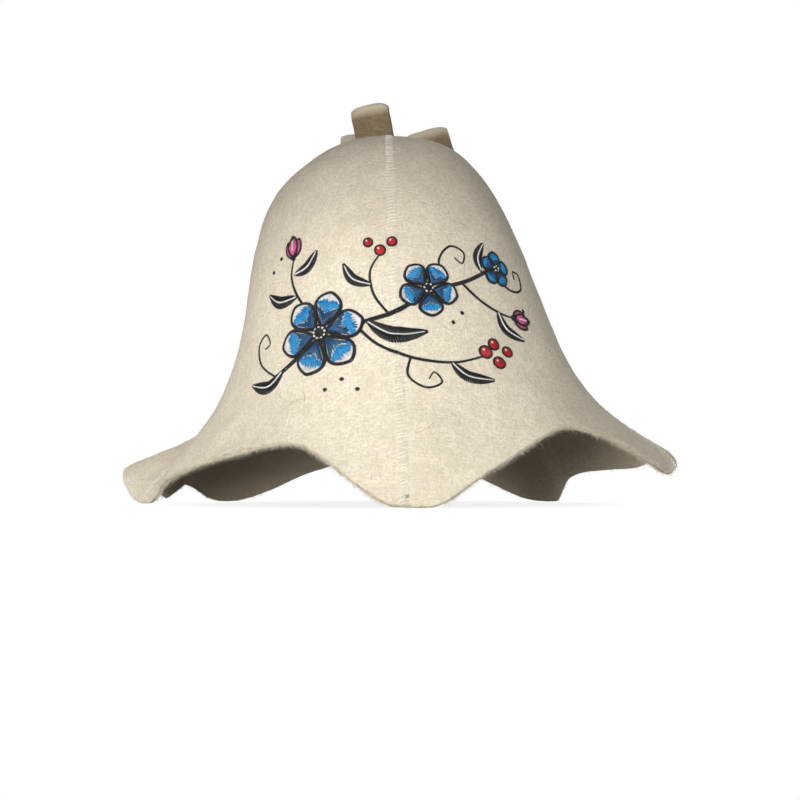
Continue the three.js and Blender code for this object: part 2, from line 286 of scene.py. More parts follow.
def select_edges(piece, chosen):
    mesh = piece.data
    mesh.polygons.foreach_set("select", [False] * len(mesh.polygons))
    mesh.edges.foreach_set("select", chosen)
    picked = {v for e, on in zip(mesh.edges, chosen) if on for v in e.vertices}
    mesh.vertices.foreach_set("select", [v.index in picked for v in mesh.vertices])


def sharp_edges(piece, angle):
    mesh = piece.data
    faces = {}
    for face in mesh.polygons:
        for key in face.edge_keys:
            faces.setdefault(key, []).append(face.normal)
    marks = []
    for edge in mesh.edges:
        pair = faces[tuple(sorted(edge.vertices))]
        marks.append(len(pair) == 2 and pair[0].angle(pair[1]) > angle)
    return marks, faces


def at_seam(point):
    away = point - axis_at(point.z)
    return min(abs(away.x), abs(away.y)) < SEAM_REACH


def close_seams(piece):
    """The cutting leaves 0.3 mm between the gores, which the stitches pull shut."""
    for vertex in piece.data.vertices:
        away = vertex.co - axis_at(vertex.co.z)
        for axis in (0, 1):
            if abs(away[axis]) < SEAM_REACH:
                vertex.co[axis] -= away[axis] * SEAM_PULL


def bevel_edges(piece, chosen, width):
    select_edges(piece, chosen)
    select_only(piece)
    bpy.ops.object.mode_set(mode="EDIT")
    bpy.ops.mesh.select_mode(type="EDGE")
    bpy.ops.mesh.bevel(offset=width, offset_type="OFFSET", segments=2, profile=0.6, clamp_overlap=True)
    bpy.ops.object.mode_set(mode="OBJECT")


def round_gore(piece):
    mesh = piece.data
    sharp, faces = sharp_edges(piece, math.radians(55))
    hem = []
    for edge, mark in zip(mesh.edges, sharp):
        a, b = (mesh.vertices[v].co.copy() for v in edge.vertices)
        on_seam = at_seam(a) and at_seam(b) or min(a.z, b.z) > POINTS_FROM
        hem.append(mark and not on_seam)
        if hem[-1]:
            pair = faces[tuple(sorted(edge.vertices))]
            hem_edge.append((a, b, (pair[0] + pair[1]).normalized()))
    bevel_edges(piece, hem, HEM_ROUNDING)
    sharp, _ = sharp_edges(piece, math.radians(38))
    bevel_edges(piece, sharp, SEAM_ROUNDING)


def draw_points_together(piece):
    for vertex in piece.data.vertices:
        away = vertex.co - axis_at(vertex.co.z)
        reach = away.length
        share = min(1.0, max(0.0, (reach - POINT_RADIUS) / POINT_SPREAD))
        if vertex.co.z > POINTS_FROM and reach > 0:
            vertex.co -= away * (POINT_PULL * (1 - share * share * (3 - 2 * share)) / reach)


# Marks where the felt faces in towards the axis and downwards, for the painted shade there.
def mark_inside_shade(piece):
    mesh = piece.data
    marks = mesh.attributes.new("inside", "FLOAT", "POINT")
    values = []
    for vertex in mesh.vertices:
        away = vertex.co - axis_at(vertex.co.z)
        away.z = 0.35 * away.length + (0.2 if vertex.co.z > 0.2 else 0)
        facing = vertex.normal.dot(away.normalized())
        values.append(min(1.0, max(0.0, 0.5 - 2.0 * facing)))
    marks.data.foreach_set("value", values)


gores = []
for source in GORES:
    gore = felt_copy("felt_" + source, source)
    close_seams(gore)
    round_gore(gore)
    draw_points_together(gore)
    # The seam edges stay in line with each other; only the felt between them is uneven.
    free = gore.vertex_groups.new(name="free")
    free.add([v.index for v in gore.data.vertices if not at_seam(v.co)], 1.0, "REPLACE")
    subdivide(gore, 2)
    unevenness(gore, 0.045, 0.0016)
    unevenness(gore, 0.012, 0.0006)
    apply_all(gore)
    gore.vertex_groups.clear()
    bpy.ops.object.shade_smooth()
    mark_inside_shade(gore)
    gore.data.materials.append(felt)
    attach(gore, "root")
    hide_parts(source)
    gores.append(gore)


# The threads that join the gores: one line of stitches over each butted seam, from the apex to
# the hem, in soft white two-ply thread. They lie like a ladder at the apex and widen to a zigzag.
# Each stitch goes through the felt, so the same line shows on the inside.
STITCH_STEP = 0.00235
STITCH_LIFT = 0.00048
# The zigzag has its whole width this far from the apex. Near the apex the stitches lie deeper.
SPREAD_RUN = 0.1
SUNK_TO = 0.02
SUNK_RUN = 0.04
# The path down the hat is walked beside the seam, on whole felt, and seen from over the felt.
WALK_ASIDE = 0.0018
WALK_OVER = 0.0025
SEAM_WIDTH_TOP = 0.003
SEAM_WIDTH = 0.0066
SEAM_THREAD = 0.00028
THREAD_WHITE = (0.9, 0.86, 0.76, 1)
THREAD_SHADE = (0.7, 0.64, 0.53, 1)
CHANCE = random.Random(7)


def felt_tree(pieces):
    verts, faces = [], []
    for piece in pieces:
        base = len(verts)
        verts += [v.co.copy() for v in piece.data.vertices]
        faces += [tuple(base + v for v in face.vertices) for face in piece.data.polygons]
    return BVHTree.FromPolygons(verts, faces)


HAT = felt_tree(gores)


def nearest(point):
    place, normal, _, _ = HAT.find_nearest(point)
    return place, normal


def walk_down(azimuth, aside, step=0.001):
    """The felt's outside from the apex to the hem, in an upright plane beside a seam."""
    turn = math.radians(azimuth)
    outward = Vector((math.sin(turn), -math.cos(turn), 0))
    across = Vector((math.cos(turn), math.sin(turn), 0))
    start = axis_at(APEX_HEIGHT) + outward * 0.003 + across * aside + Vector((0, 0, 0.002))
    place, normal = nearest(start)
    path = [(place, normal)]
    while len(path) < 600:
        along = across.cross(normal)
        along = along.normalized()
        if along.dot(outward - Vector((0, 0, 1))) <= 0:
            along = -along
        target = place + along * step
        off_plane = (target - axis_at(target.z)).dot(across) - aside
        here, now = nearest(target - across * off_plane + normal * 0.0004)
        if now.z < -0.25 or now.dot(normal) < 0.75 or (here - place).length < step * 0.3:
            break
        path.append((here, now))
        place, normal = here, now
    return path


def thread_material(name, colour, dark, sheen=0.3, roughness=0.6, gloss=0.2, crown_shaded=False):
    made, tree, shader = material(name, roughness, sheen, gloss=gloss)
    place = node(tree, "ShaderNodeTexCoord").outputs["Object"]
    strand = node(tree, "ShaderNodeTexNoise", Vector=place, Scale=1500.0, Detail=2.0)
    patch = node(tree, "ShaderNodeTexNoise", Vector=place, Scale=260.0, Detail=1.0)
    both = math_node(tree, "ADD", math_node(tree, "MULTIPLY", strand.outputs[0], 0.6),
                     math_node(tree, "MULTIPLY", patch.outputs[0], 0.4))
    mixed = mix_colour(tree, ramp(tree, both, 0.36, 0.6), dark, colour)
    # The seam thread takes the crown's painted shade too.
    if crown_shaded:
        mixed = painted_crown_shade(tree, mixed)
    tree.links.new(mixed, shader.inputs["Base Color"])
    bump = node(tree, "ShaderNodeBump", Strength=0.35, Distance=0.0002, Height=strand.outputs[0])
    tree.links.new(bump.outputs[0], shader.inputs["Normal"])
    return made


def lay_threads(name, strands, radius, finish, sides=0):
    curve = bpy.data.curves.new(name, "CURVE")
    curve.dimensions = "3D"
    curve.bevel_depth = radius
    curve.bevel_resolution = sides
    curve.use_fill_caps = True
    for strand in strands:
        spline = curve.splines.new("POLY")
        spline.points.add(len(strand) - 1)
        for point, (place, thick) in zip(spline.points, strand):
            point.co = (*place, 1)
            point.radius = thick
    piece = bpy.data.objects.new(name, curve)
    bpy.context.collection.objects.link(piece)
    select_only(piece)
    bpy.ops.object.convert(target="MESH")
    piece = bpy.context.view_layer.objects.active
    piece.name = name
    bpy.ops.object.mode_set(mode="EDIT")
    bpy.ops.mesh.select_all(action="SELECT")
    bpy.ops.mesh.normals_make_consistent(inside=False)
    bpy.ops.object.mode_set(mode="OBJECT")
    bpy.ops.object.shade_smooth()
    piece.data.materials.clear()
    piece.data.materials.append(finish)
    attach(piece, "root")
    return piece


# How a stitch stands over the felt along its length: it comes up steeply, lies flat, and dips.
# The columns are the share of its length, its rise as a share of its lift, and its thickness.
STITCH_PROFILE = (
    (0, -0.6, 0.75),
    (0.13, 0.75, 1.0),
    (0.5, 1.05, 1.0),
    (0.87, 0.75, 1.0),
    (1, -0.6, 0.75),
)


def stitch_over(a, b, up, lift, thick=1.0):
    return [(a.lerp(b, t) + up * lift * rise, thick * wide) for t, rise, wide in STITCH_PROFILE]


def seam_threads(azimuth):
    turn = math.radians(azimuth)
    across = Vector((math.cos(turn), math.sin(turn), 0))
    path = walk_down(azimuth, WALK_ASIDE)
    outside, inside = [], []
    reach = 0.0
    run = 0.0
    for (p, n), (q, _) in zip(path, path[1:]):
        reach += (q - p).length
        if reach < STITCH_STEP:
            continue
        reach -= STITCH_STEP
        run += STITCH_STEP
        middle = p - across * WALK_ASIDE + n * WALK_OVER
        spread = min(1, run / SPREAD_RUN)
        half = (SEAM_WIDTH_TOP + (SEAM_WIDTH - SEAM_WIDTH_TOP) * spread) / 2 * CHANCE.uniform(0.93, 1.07)
        down = (q - p).normalized() * STITCH_STEP
        slant = 0.12 + 0.2 * spread
        left, up_left = nearest(middle - across * half + down * slant)
        right, up_right = nearest(middle + across * half - down * slant)
        after, _ = nearest(middle - across * half + down * (1 + slant))
        up = (up_left + up_right).normalized()
        stands = min(1, max(0, (run - SUNK_TO) / SUNK_RUN))
        lift = STITCH_LIFT * CHANCE.uniform(0.85, 1.2) * (0.5 + 0.5 * stands)
        thick = CHANCE.uniform(0.9, 1.1) * (0.72 + 0.28 * stands)
        for ply in (-1, 1):
            shift = down * (0.09 * ply)
            outside.append(stitch_over(left + shift, right + shift, up, lift, thick))
            through_left = left + shift - up_left * FELT
            through_right = right + shift - up_right * FELT
            inside.append(stitch_over(through_left, through_right, -up, lift, thick))
        outside.append(stitch_over(right, after, up, lift * (0.55 * spread - 0.35), 0.85 * thick))
    return outside, inside


seam_white = thread_material("seam_thread", THREAD_WHITE, THREAD_SHADE, crown_shaded=True)
for label, azimuth in (("front", 0), ("right", 90), ("back", 180), ("left", -90)):
    outside, inside = seam_threads(azimuth)
    lay_threads("seam_threads_" + label, outside, SEAM_THREAD, seam_white)
    lay_threads("seam_threads_inside_" + label, inside, SEAM_THREAD, seam_white)

# The apex, where the seams meet: the last stitches cross over the gores' drawn-in points.
CROSSINGS = 9
crossing = []
for k in range(CROSSINGS):
    turn = math.pi * (k + CHANCE.uniform(-0.2, 0.2)) / CROSSINGS
    reach = Vector((math.cos(turn), math.sin(turn), 0)) * CHANCE.uniform(0.0035, 0.0048)
    a, _ = nearest(axis_at(APEX_HEIGHT) + reach)
    b, _ = nearest(axis_at(APEX_HEIGHT) - reach)
    lift = 0.0006 + 0.00006 * k
    crossing.append(stitch_over(a, b, Vector((0, 0, 1)), lift, CHANCE.uniform(0.9, 1.1)))
lay_threads("apex_threads", crossing, SEAM_THREAD, seam_white)


# The loops at the apex: three lengths of felt strip, each folded in two with a round bend, their
# ends set down on the crown and sewn to it with a few overcast stitches.
# The strip is the same felt as the gores, cut 28 mm wide and worn round at its edges.
STRIP_WIDTH = 0.028
# The fold's middle line from a foot to the bend's top: thickness way and along, in metres.
HALF_FOLD = (
    (0.00165, -0.044),
    (0.00165, -0.036),
    (0.00185, -0.028),
    (0.0027, -0.021),
    (0.0036, -0.0155),
    (0.0043, -0.0105),
    (0.0045, -0.0065),
    (0.0041, -0.0043),
    (0.0031, -0.0028),
    (0.0017, -0.0018),
    (0.0, -0.0015),
)
STRIP_ROUNDING = 0.0009
CORNER_FROM = 0.011
CORNER_DROP = 0.0036
CORNER_PULL = 0.05
# The CAD node, its own width and its bend's middle from the apex as shares of the strip's width,
# the azimuth that it faces, how far it leans back and turns in its own plane, in degrees, and how
# far down from its top the bend is painted pale, as a painted highlight where it turns up to the light.
LOOPS = (
    ("loop_upright", 0.93, (-0.475, 0.06, 0.94), -6, 0, 9.5, 0.0085),
    ("loop_right", 1.08, (0.868, 0.22, 0.32), 0, 20, 15, 0.01),
    ("loop_left", 1.0, (-0.69, 1.0, 0.43), -6, 45, 6, 0.024),
)
# The strip's colours are darker and browner than the gores': painted shade on the loops' faces, which stand
# in shadow.
STRIP_PAINTED_SHADE_BROWN = (0.3, 0.235, 0.135, 1)
STRIP_PAINTED_SHADE_DARK = (0.2, 0.155, 0.09, 1)
STRIP_PAINTED_SHADE_WARM = (0.27, 0.2, 0.105, 1)
STRIP_PAINTED_SHADE_FIBRE = (0.38, 0.31, 0.2, 1)
STRIP_BEND_HIGHLIGHT = (0.72, 0.64, 0.52, 1)
shaded_strip_felt = felt_material("wool_strip_painted_shade", STRIP_PAINTED_SHADE_BROWN, STRIP_PAINTED_SHADE_DARK, STRIP_PAINTED_SHADE_WARM, STRIP_PAINTED_SHADE_FIBRE)
tree = shaded_strip_felt.node_tree
# Painted highlight: the bend is mixed towards a pale colour where it turns up to the light.
bend_highlight = node(tree, "ShaderNodeAttribute", {"attribute_name": "bend"}).outputs["Fac"]
shader = tree.nodes["Principled BSDF"]
under = shader.inputs["Base Color"].links[0].from_socket
tree.links.new(mix_colour(tree, bend_highlight, under, STRIP_BEND_HIGHLIGHT), shader.inputs["Base Color"])


def put_in_order(mesh):
    """Extruding leaves the points and faces in an order that changes from run to run."""
    order = sorted(range(len(mesh.vertices)), key=lambda v: [round(k, 6) for k in mesh.vertices[v].co])
    rank = {old: new for new, old in enumerate(order)}
    points = [mesh.vertices[v].co.copy() for v in order]
    faces = []
    for face in mesh.polygons:
        ring = [rank[v] for v in face.vertices]
        first = ring.index(min(ring))
        faces.append(ring[first:] + ring[:first])
    mesh.clear_geometry()
    mesh.from_pydata(points, [], sorted(faces))


def folded_strip(name, width):
    line = [Vector((0, y, z)) for y, z in HALF_FOLD] + [Vector((0, -y, z)) for y, z in HALF_FOLD[-2::-1]]
    bpy.ops.mesh.primitive_grid_add(x_subdivisions=6, y_subdivisions=1, size=width)
    piece = bpy.context.object
    piece.name = name
    bpy.ops.object.mode_set(mode="EDIT")
    bpy.ops.mesh.select_all(action="DESELECT")
    bpy.ops.object.mode_set(mode="OBJECT")
    for vertex in piece.data.vertices:
        vertex.select = vertex.co.y > 0
    bpy.ops.object.mode_set(mode="EDIT")
    bpy.ops.mesh.select_mode(type="VERT")
    bpy.ops.mesh.delete(type="VERT")
    bpy.ops.mesh.select_all(action="SELECT")
    bpy.ops.transform.translate(value=line[0] + Vector((0, width / 2, 0)))
    for here, there in zip(line, line[1:]):
        bpy.ops.mesh.extrude_region_move(TRANSFORM_OT_translate={"value": there - here})
    bpy.ops.object.mode_set(mode="OBJECT")
    # The cut edges pull in a little where the strip bends, which rounds the loop's corners.
    for vertex in piece.data.vertices:
        bent = max(0.0, 1 + vertex.co.z / CORNER_FROM)
        edge = abs(vertex.co.x * 2 / width) ** 6
        vertex.co.z -= CORNER_DROP * edge * bent
        vertex.co.x *= 1 - CORNER_PULL * edge * bent
    put_in_order(piece.data)
    return piece


def placed(bend, azimuth, lean, turn):
    x, y, z = (k * STRIP_WIDTH for k in bend)
    return (
        Matrix.Translation(Vector((AXIS_X - LEAN + x, AXIS_Y + y, APEX_HEIGHT + z)))
        @ Matrix.Rotation(math.radians(azimuth), 4, "Z")
        @ Matrix.Rotation(math.radians(-turn), 4, "Y")
        @ Matrix.Rotation(math.radians(-lean), 4, "X")
    )


def foot_height(matrix, x, y):
    """How far down a leg reaches the crown, in the loop's own frame."""
    top = -0.002
    start = matrix @ Vector((x, y, top))
    hit = HAT.ray_cast(start, matrix.to_3x3() @ Vector((0, 0, -1)))
    return top - hit[3]


def set_down(piece, matrix):
    leg_y, leg_top = HALF_FOLD[5]
    foot_y, foot_z = HALF_FOLD[0]
    for vertex in piece.data.vertices:
        x, y, z = vertex.co
        if z < leg_top:
            found = foot_height(matrix, x, math.copysign(foot_y, y))
            share = (leg_top - z) / (leg_top - foot_z)
            vertex.co.z = leg_top + (found - leg_top) * share
            spread = (leg_y - foot_y) * (1 - min(1, share * 1.3)) ** 1.5 + foot_y
            vertex.co.y = math.copysign(spread, y)


def foot_stitches(matrix, width):
    strands = []
    for side in (-1, 1):
        for k in range(5):
            x = (k - 2) * width / 5.2 + CHANCE.uniform(-0.0008, 0.0008)
            y = side * HALF_FOLD[0][0]
            low = foot_height(matrix, x, y)
            face = matrix @ Vector((x + 0.0006, y + side * FELT * 0.45, low + 0.0024))
            ground, up = nearest(matrix @ Vector((x - 0.0006, y + side * (FELT / 2 + 0.0022), low)))
            outward = (matrix.to_3x3() @ Vector((0, side, 0)) + up).normalized()
            for ply in (-0.00028, 0.00028):
                shift = matrix.to_3x3() @ Vector((ply, 0, 0))
                strands.append(stitch_over(face + shift, ground + shift, outward, 0.0007))
    return strands


loops = []
loop_threads = []
for source, wide, bend, azimuth, lean, turn, bend_highlight in LOOPS:
    loop = folded_strip("felt_" + source, wide * STRIP_WIDTH)
    matrix = placed(bend, azimuth, lean, turn)
    set_down(loop, matrix)
    # How much painted highlight each point takes, by its depth under the bend's top.
    pale = loop.data.attributes.new("bend", "FLOAT", "POINT")
    pale.data.foreach_set("value", [max(0.0, min(1.0, 1.15 + v.co.z / bend_highlight)) for v in loop.data.vertices])
    loop.data.transform(matrix)
    thick = loop.modifiers.new("felt", "SOLIDIFY")
    thick.thickness = FELT
    thick.offset = 0
    edge = loop.modifiers.new("worn_edge", "BEVEL")
    edge.width = STRIP_ROUNDING
    edge.segments = 2
    edge.limit_method = "ANGLE"
    edge.angle_limit = math.radians(50)
    subdivide(loop, 2)
    unevenness(loop, 0.012, 0.0007)
    apply_all(loop)
    bpy.ops.object.mode_set(mode="EDIT")
    bpy.ops.mesh.select_all(action="SELECT")
    bpy.ops.mesh.normals_make_consistent(inside=False)
    bpy.ops.object.mode_set(mode="OBJECT")
    bpy.ops.object.shade_smooth()
    loop.data.materials.clear()
    loop.data.materials.append(shaded_strip_felt)
    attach(loop, "root")
    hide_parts(source)
    loops.append(loop)
    loop_threads += foot_stitches(matrix, wide * STRIP_WIDTH)
lay_threads("loop_threads", loop_threads, SEAM_THREAD * 0.9, seam_white)


# The embroidery on the hat's front: a flowering branch in lustrous machine thread, sewn through
# the felt in close satin stitches. It is drawn in millimetres, with u round the hat from the
# front seam and z up from the floor.
SATIN_PITCH = 0.42
SATIN_THREAD = 0.00027
LAYER = 0.00028
# The crown's radius on which u is measured, and how the embroidery rides up over the seam.
ROUND_HAT = 100
SEAM_COVER = 0.0011
SEAM_COVER_TO = 5.5
SEAM_CLEAR = 0.8
MOTIF_BLACK = (0.004, 0.004, 0.006, 1)
MOTIF_BLUE = (0.01, 0.29, 0.62, 1)
MOTIF_DEEP_BLUE = (0.008, 0.075, 0.19, 1)
MOTIF_WHITE = (0.8, 0.79, 0.77, 1)
MOTIF_PINK = (0.62, 0.12, 0.29, 1)
MOTIF_RED = (0.58, 0.012, 0.02, 1)
sewn = {"black": [], "blue": [], "deep_blue": [], "white": [], "pink": [], "red": []}


def on_hat(u, z, lift):
    """The place at (u, z) on the felt. A ray down the seam itself could slip between the gores."""
    beside = math.copysign(max(abs(u), SEAM_CLEAR), u)
    turn = beside / ROUND_HAT
    outward = Vector((math.sin(turn), -math.cos(turn), 0))
    place, normal, _, _ = HAT.ray_cast(axis_at(z / 1000) + outward * 0.3, -outward)
    place += Vector((math.cos(turn), math.sin(turn), 0)) * ((u - beside) / 1000)
    return place + normal * (lift + SEAM_COVER * max(0.0, 1 - abs(u) / SEAM_COVER_TO))


def sew(colour, a, b, layer=0):
    """One stitch between two (u, z) places, standing a little over the layers under it."""
    rise = LAYER * (layer + 1) + 0.00003 * min(math.dist(a, b), 6)
    strand = []
    for t, height, wide in STITCH_PROFILE:
        u = a[0] + (b[0] - a[0]) * t
        z = a[1] + (b[1] - a[1]) * t
        strand.append((on_hat(u, z, rise * height), wide))
    sewn[colour].append(strand)


def smooth_line(points, step):
    """Evenly spaced places on a smooth curve through the points, each with its direction."""
    knots = [points[0], *points, points[-1]]
    fine = []
    for a, b, c, d in zip(knots, knots[1:], knots[2:], knots[3:]):
        for k in range(16):
            t = k / 16
            fine.append(tuple(
                0.5 * (2 * b[i] + (c[i] - a[i]) * t + (2 * a[i] - 5 * b[i] + 4 * c[i] - d[i]) * t * t
                       + (3 * b[i] - a[i] - 3 * c[i] + d[i]) * t ** 3)
                for i in (0, 1)
            ))
    fine.append(tuple(points[-1]))
    lengths = [0.0]
    for a, b in zip(fine, fine[1:]):
        lengths.append(lengths[-1] + math.dist(a, b))
    count = max(2, round(lengths[-1] / step))
    line = []
    i = 0
    for k in range(count + 1):
        wanted = lengths[-1] * k / count
        while i < len(fine) - 2 and lengths[i + 1] < wanted:
            i += 1
        a, b = fine[i], fine[i + 1]
        span = max(math.dist(a, b), 1e-6)
        t = (wanted - lengths[i]) / span
        way = ((b[0] - a[0]) / span, (b[1] - a[1]) / span)
        line.append(((a[0] + way[0] * span * t, a[1] + way[1] * span * t), way, k / count))
    return line


# A tapered line has its whole width within 1 / 2.2 of its length from an end.
TAPER_RATE = 2.2


def satin(colour, points, width, taper=(1.0, 1.0), layer=0, slant=0.25):
    """A line of stitches across a curve. taper is each end's width as a share of the whole."""
    for (u, z), (du, dz), t in smooth_line(points, SATIN_PITCH):
        first = taper[0] + (1 - taper[0]) * min(1, t * TAPER_RATE)
        last = taper[1] + (1 - taper[1]) * min(1, (1 - t) * TAPER_RATE)
        half = width * min(1.0, first, last) / 2 * CHANCE.uniform(0.94, 1.06)
        across = (-dz + slant * du, du + slant * dz)
        a = (u + across[0] * half, z + across[1] * half)
        b = (u - across[0] * half, z - across[1] * half)
        sew(colour, a, b, layer)


def disc(colour, centre, radius, turn=0.6, layer=0):
    rows = max(3, round(2 * radius / SATIN_PITCH))
    for k in range(rows):
        offset = radius * (2 * (k + 0.5) / rows - 1)
        half = math.sqrt(max(radius * radius - offset * offset, 0.01)) + CHANCE.uniform(-0.1, 0.1)
        along = (math.cos(turn) * half, math.sin(turn) * half)
        u = centre[0] - math.sin(turn) * offset
        z = centre[1] + math.cos(turn) * offset
        sew(colour, (u - along[0], z - along[1]), (u + along[0], z + along[1]), layer)


def ring(colour, centre, radius, width, layer):
    points = [
        (centre[0] + radius * math.cos(math.tau * k / 12), centre[1] + radius * math.sin(math.tau * k / 12))
        for k in range(13)
    ]
    satin(colour, points, width, layer=layer, slant=0)


def petal(centre, turn, start, length, width, bands, edge, fullness=1.5, layer=0):
    """A petal in bands of long stitches that run out from the flower's middle, edged in black."""
    out = (math.cos(turn), math.sin(turn))
    side = (-out[1], out[0])

    def half_width(s):
        return width / 2 * math.sin(math.pi * min(1, max(0, s)) ** fullness) ** 0.7

    def at(s, x):
        reach = start + (length - start) * s
        return (centre[0] + out[0] * reach + side[0] * x, centre[1] + out[1] * reach + side[1] * x)

    columns = max(4, round(width / SATIN_PITCH))
    for k in range(columns):
        x = width * ((k + 0.5) / columns - 0.5)
        inside = [s / 60 for s in range(61) if half_width(s / 60) >= abs(x)]
        if len(inside) < 4:
            continue
        low, high = inside[0], inside[-1]
        cuts = [low]
        for _, share in bands:
            cuts.append(min(high, low + (high - low) * min(1, share + CHANCE.uniform(-0.07, 0.07))))
        cuts[-1] = high
        for (colour, _), a, b in zip(bands, cuts, cuts[1:]):
            if b - a > 0.04:
                pinch = 0.55 + 0.45 * a
                sew(colour, at(a, x * pinch), at(b, x), layer)
    outline = [at(s / 14, half_width(s / 14)) for s in range(15)]
    outline += [at(s / 14, -half_width(s / 14)) for s in range(13, -1, -1)]
    satin("black", outline, edge, layer=layer + 1.5, slant=0)


def flower(centre, radius, petals, width, turn, bands, heart, edge):
    for k in range(petals):
        petal(centre, turn + math.tau * k / petals, heart * 0.6, radius, width, bands, edge, layer=1.2)
    disc("black", centre, heart, 0.4, 4)
    knots = max(5, round(heart * 1.6))
    for k in range(knots):
        around = math.tau * k / knots + turn
        u = centre[0] + heart * 0.62 * math.cos(around)
        z = centre[1] + heart * 0.62 * math.sin(around)
        disc("white", (u, z), heart * 0.13, around, 5.5)


def leaf(points, width, vein=True):
    line = smooth_line(points, SATIN_PITCH * 0.8)
    count = len(line)
    for side in (-1, 1):
        for k, ((u, z), (du, dz), t) in enumerate(line):
            edge = width / 2 * math.sin(math.pi * t ** 0.8) ** 0.85 + 0.3
            lean = 0.45 * edge
            a = (u - du * 0.2, z - dz * 0.2)
            b = (u + side * -dz * edge + du * lean, z + side * du * edge + dz * lean)
            if k < count - 2:
                sew("black", a, b, 0.3 + 0.2 * side)
    if vein:
        inner = [place for place, _, _ in line[3:-4:4]]
        satin("white", inner, 0.75, (0.8, 0.4), 2.2)


def bud(centre, turn, length, width):
    """A closed pink flower: two side petals behind and one in front."""
    pink = (("pink", 1.0),)
    for lean, size, layer in ((0.42, 0.88, 0), (-0.42, 0.88, 0), (0, 1, 2.5)):
        petal(centre, turn + lean, 0.5, length * size, width * 0.62, pink, 1.0, 0.9, layer)
    shine = [
        (centre[0] + math.cos(turn) * length * s, centre[1] + math.sin(turn) * length * s)
        for s in (0.35, 0.55, 0.75)
    ]
    satin("white", shine, 1.0, (0.4, 0.3), 5)
    disc("black", centre, 1.9, turn, 4)


BLUE_BANDS = (("deep_blue", 0.42), ("blue", 0.8), ("white", 1.0))
SMALL_BANDS = (("deep_blue", 0.38), ("blue", 1.0))
# The branch and its twigs: width, taper, and the places that each line goes through.
BRANCH = ((-72, 73), (-64, 79), (-46, 92), (-22, 104), (0, 112), (18, 124), (42, 132), (64, 143))
STEMS = (
    (2.7, (1.0, 0.8), BRANCH),
    (1.7, (1.0, 0.5), ((-22, 104), (-10, 92), (8, 84), (28, 82), (46, 87))),
    (1.6, (1.0, 0.5), ((-44, 108), (-58, 122), (-66, 136), (-66, 148))),
    (1.5, (1.0, 0.5), ((38, 131), (50, 120), (62, 114), (72, 112))),
    (1.4, (1.0, 0.5), ((-4, 110), (-12, 122), (-14, 136), (-8, 147))),
)
for width, taper, places in STEMS:
    satin("black", places, width, taper, 0.4)
# Thin curling tendrils, each tapered to its tip.
TENDRILS = (
    ((-70, 76), (-84, 84), (-90, 96), (-84, 103), (-79, 97), (-83, 94)),
    ((26, 129), (26, 144), (34, 153), (43, 150), (41, 143), (36, 146)),
    ((6, 85), (4, 74), (12, 67), (20, 70), (17, 76), (14, 72)),
    ((58, 140), (76, 130), (88, 132), (90, 141), (84, 143), (83, 138)),
)
for places in TENDRILS:
    satin("black", places, 1.15, (0.9, 0.45), 0.2)
LEAVES = (
    (8.0, ((-64, 79), (-74, 70), (-90, 72))),
    (9.0, ((-16, 106), (-2, 98), (16, 100))),
    (7.5, ((-60, 124), (-74, 122), (-86, 128))),
    (7.0, ((-64, 138), (-54, 142), (-48, 152))),
    (6.5, ((26, 82), (34, 74), (48, 72))),
    (6.5, ((60, 115), (64, 104), (76, 98))),
    (6.0, ((-13, 128), (-24, 132), (-30, 142))),
    (6.0, ((54, 139), (53, 148), (60, 158))),
)
for width, places in LEAVES:
    leaf(places, width)
flower((-42, 100), 25, 6, 16.0, 0.3, BLUE_BANDS, 5.4, 1.8)
flower((18, 126), 16.5, 5, 12.5, 1.0, BLUE_BANDS, 3.8, 1.45)
flower((66, 142), 11, 5, 8.4, 0.2, SMALL_BANDS, 2.6, 1.15)
bud((-66, 149), 1.75, 14, 12)
bud((72, 112), -0.1, 13, 11)
# Berries on the lower twig and at the end of the upper one: place and radius.
BERRIES = (
    (46, 89, 3.6),
    (53, 83, 3.3),
    (52, 94, 3.2),
    (60, 90, 2.9),
    (-8, 149, 3.0),
    (-1, 154, 2.7),
    (-15, 154, 2.6),
)
for u, z, radius in BERRIES:
    disc("red", (u, z), radius, CHANCE.uniform(0, 3))
    ring("black", (u, z), radius, 0.9, 1.2)
    disc("white", (u - radius * 0.3, z + radius * 0.35), radius * 0.2, 0.6, 2.5)
DOTS = ((-28, 72), (-36, 66), (-20, 66), (36, 112), (30, 106), (-84, 142), (-78, 150), (84, 118))
for centre in DOTS:
    disc("black", centre, 1.15, 0.5)

THREADS = {
    "black": (MOTIF_BLACK, (0.002, 0.002, 0.003, 1)),
    "blue": (MOTIF_BLUE, (0.006, 0.17, 0.42, 1)),
    "deep_blue": (MOTIF_DEEP_BLUE, (0.004, 0.045, 0.12, 1)),
    "white": (MOTIF_WHITE, (0.6, 0.6, 0.6, 1)),
    "pink": (MOTIF_PINK, (0.42, 0.06, 0.17, 1)),
    "red": (MOTIF_RED, (0.36, 0.004, 0.01, 1)),
}
for colour, strands in sewn.items():
    light, dark = THREADS[colour]
    lustre = thread_material("embroidery_" + colour, light, dark, 0.05, 0.42, 0.5)
    lay_threads("embroidery_" + colour, strands, SATIN_THREAD, lustre)


# The wool's loose fibres: short curved hairs that stand off the milled face all over, and longer
# ones that fray out of the cut hem.
FUZZ_WIDTH = 0.00006
FUZZ_ON_FACE = 15000
FUZZ_ON_HEM = 4
FUZZ_ON_FRONT = 22
seeds = np.random.default_rng(11)


